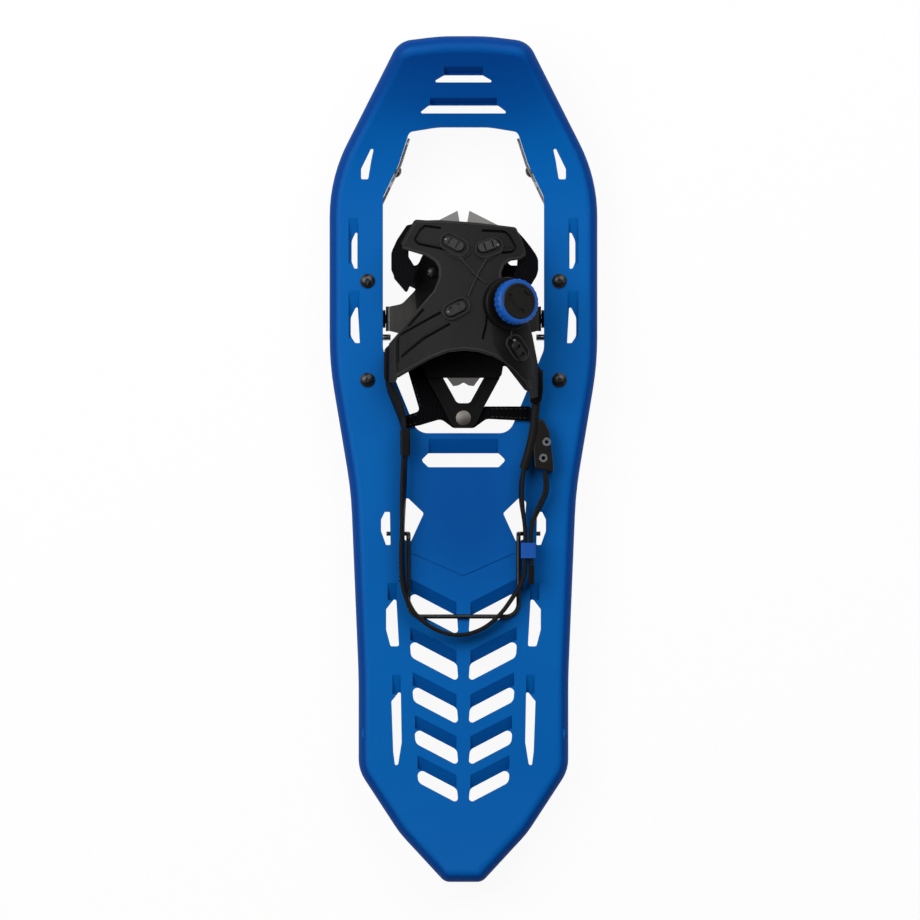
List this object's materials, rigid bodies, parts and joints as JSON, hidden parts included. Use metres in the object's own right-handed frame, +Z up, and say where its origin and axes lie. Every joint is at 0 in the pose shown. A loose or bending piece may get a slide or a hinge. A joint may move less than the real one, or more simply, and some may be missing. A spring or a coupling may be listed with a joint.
{
  "type": "snowshoe",
  "caption": "Snowshoe with a louvred moulded deck, toothed steel side rails, a pivoting toe crampon and dial-laced boot binding, a heel strap with buckle and a flip-up wire heel lift.",
  "frame": {"origin": "under the middle of the deck, on the plane that the rail teeth stand on", "axes": "+Y points to the toe, +X to the wearer's right, +Z up out of the deck"},
  "size_m": [0.2094, 0.6604, 0.1076],
  "materials": {
    "deck_plastic": "moulded satin",
    "rail_steel": "stamped, zinc plated",
    "black_steel": "black oxide",
    "bare_steel": "turned",
    "black_plastic": "moulded",
    "crampon_steel": "stamped grey steel",
    "soft_polyurethane": "soft moulded",
    "webbing": "woven",
    "gloss_black": "polished",
    "lace_steel": "stranded",
    "blue_plastic": "moulded",
    "black_wire": "painted"
  },
  "bodies": {
    "deck": {"deck": "deck_plastic", "rail_left": "rail_steel", "rail_right": "rail_steel", "deck_bolts": "black_steel", "deck_nuts": "black_steel", "rail_screws": "black_steel", "rim_rivets": "black_steel", "pivot_pins": "bare_steel", "pivot_bushings": "black_plastic", "stop_pins": "bare_steel"},
    "binding": {"toe_crampon": "crampon_steel", "heel_yoke": "black_plastic", "rear_strap": "soft_polyurethane", "disc_rivet": "bare_steel", "wrap_base": "soft_polyurethane", "footbed": "black_plastic", "footbed_rivets": "black_steel", "wrap_upper": "soft_polyurethane", "toe_web_left": "webbing", "toe_web_right": "webbing", "lace_guides": "gloss_black", "lace": "lace_steel", "dial_housing": "black_plastic", "heel_strap": "soft_polyurethane", "side_strap": "soft_polyurethane", "buckle_strap": "soft_polyurethane", "strap_end": "soft_polyurethane", "strap_sleeve": "soft_polyurethane", "buckle": "gloss_black", "buckle_rivets": "bare_steel"},
    "heel_bar": {"heel_lift_bar": "black_wire"},
    "dial_hub": {"dial_hub": "black_plastic"},
    "dial": {"dial_ring": "blue_plastic", "dial_cap": "gloss_black"},
    "spool": {"lace_spool": "black_plastic"},
    "keeper": {"strap_keeper": "blue_plastic"}
  },
  "joints": [
    {"name": "binding_pivot", "type": "hinge", "parent": "deck", "child": "binding", "pos_m": [0, 0.11, 0.016], "axis": [-1, 0, 0], "range_deg": [0, 80]},
    {"name": "heel_bar_flip", "type": "hinge", "parent": "deck", "child": "heel_bar", "pos_m": [0, -0.058, 0.029], "axis": [-1, 0, 0], "range_deg": [0, 95], "deforming": ["heel_strap"]},
    {"name": "dial_lift", "type": "slide", "parent": "binding", "child": "dial_hub", "axis": [0.4773, 0.1223, 0.8702], "range_m": [0, 0.0025]},
    {"name": "dial_turn", "type": "hinge", "parent": "dial_hub", "child": "dial", "pos_m": [0.03944, 0.12214, 0.09243], "axis": [0.4773, 0.1223, 0.8702], "continuous": true},
    {"name": "spool_turn", "type": "hinge", "parent": "binding", "child": "spool", "pos_m": [0.03944, 0.12214, 0.09243], "axis": [0.4773, 0.1223, 0.8702], "continuous": true},
    {"name": "keeper_slide", "type": "slide", "parent": "binding", "child": "keeper", "axis": [0, 1, 0], "range_m": [-0.004, 0.006]}
  ],
  "couplings": [
    {"joint": "spool_turn", "follows": "dial_turn", "ratio": 1}
  ]
}
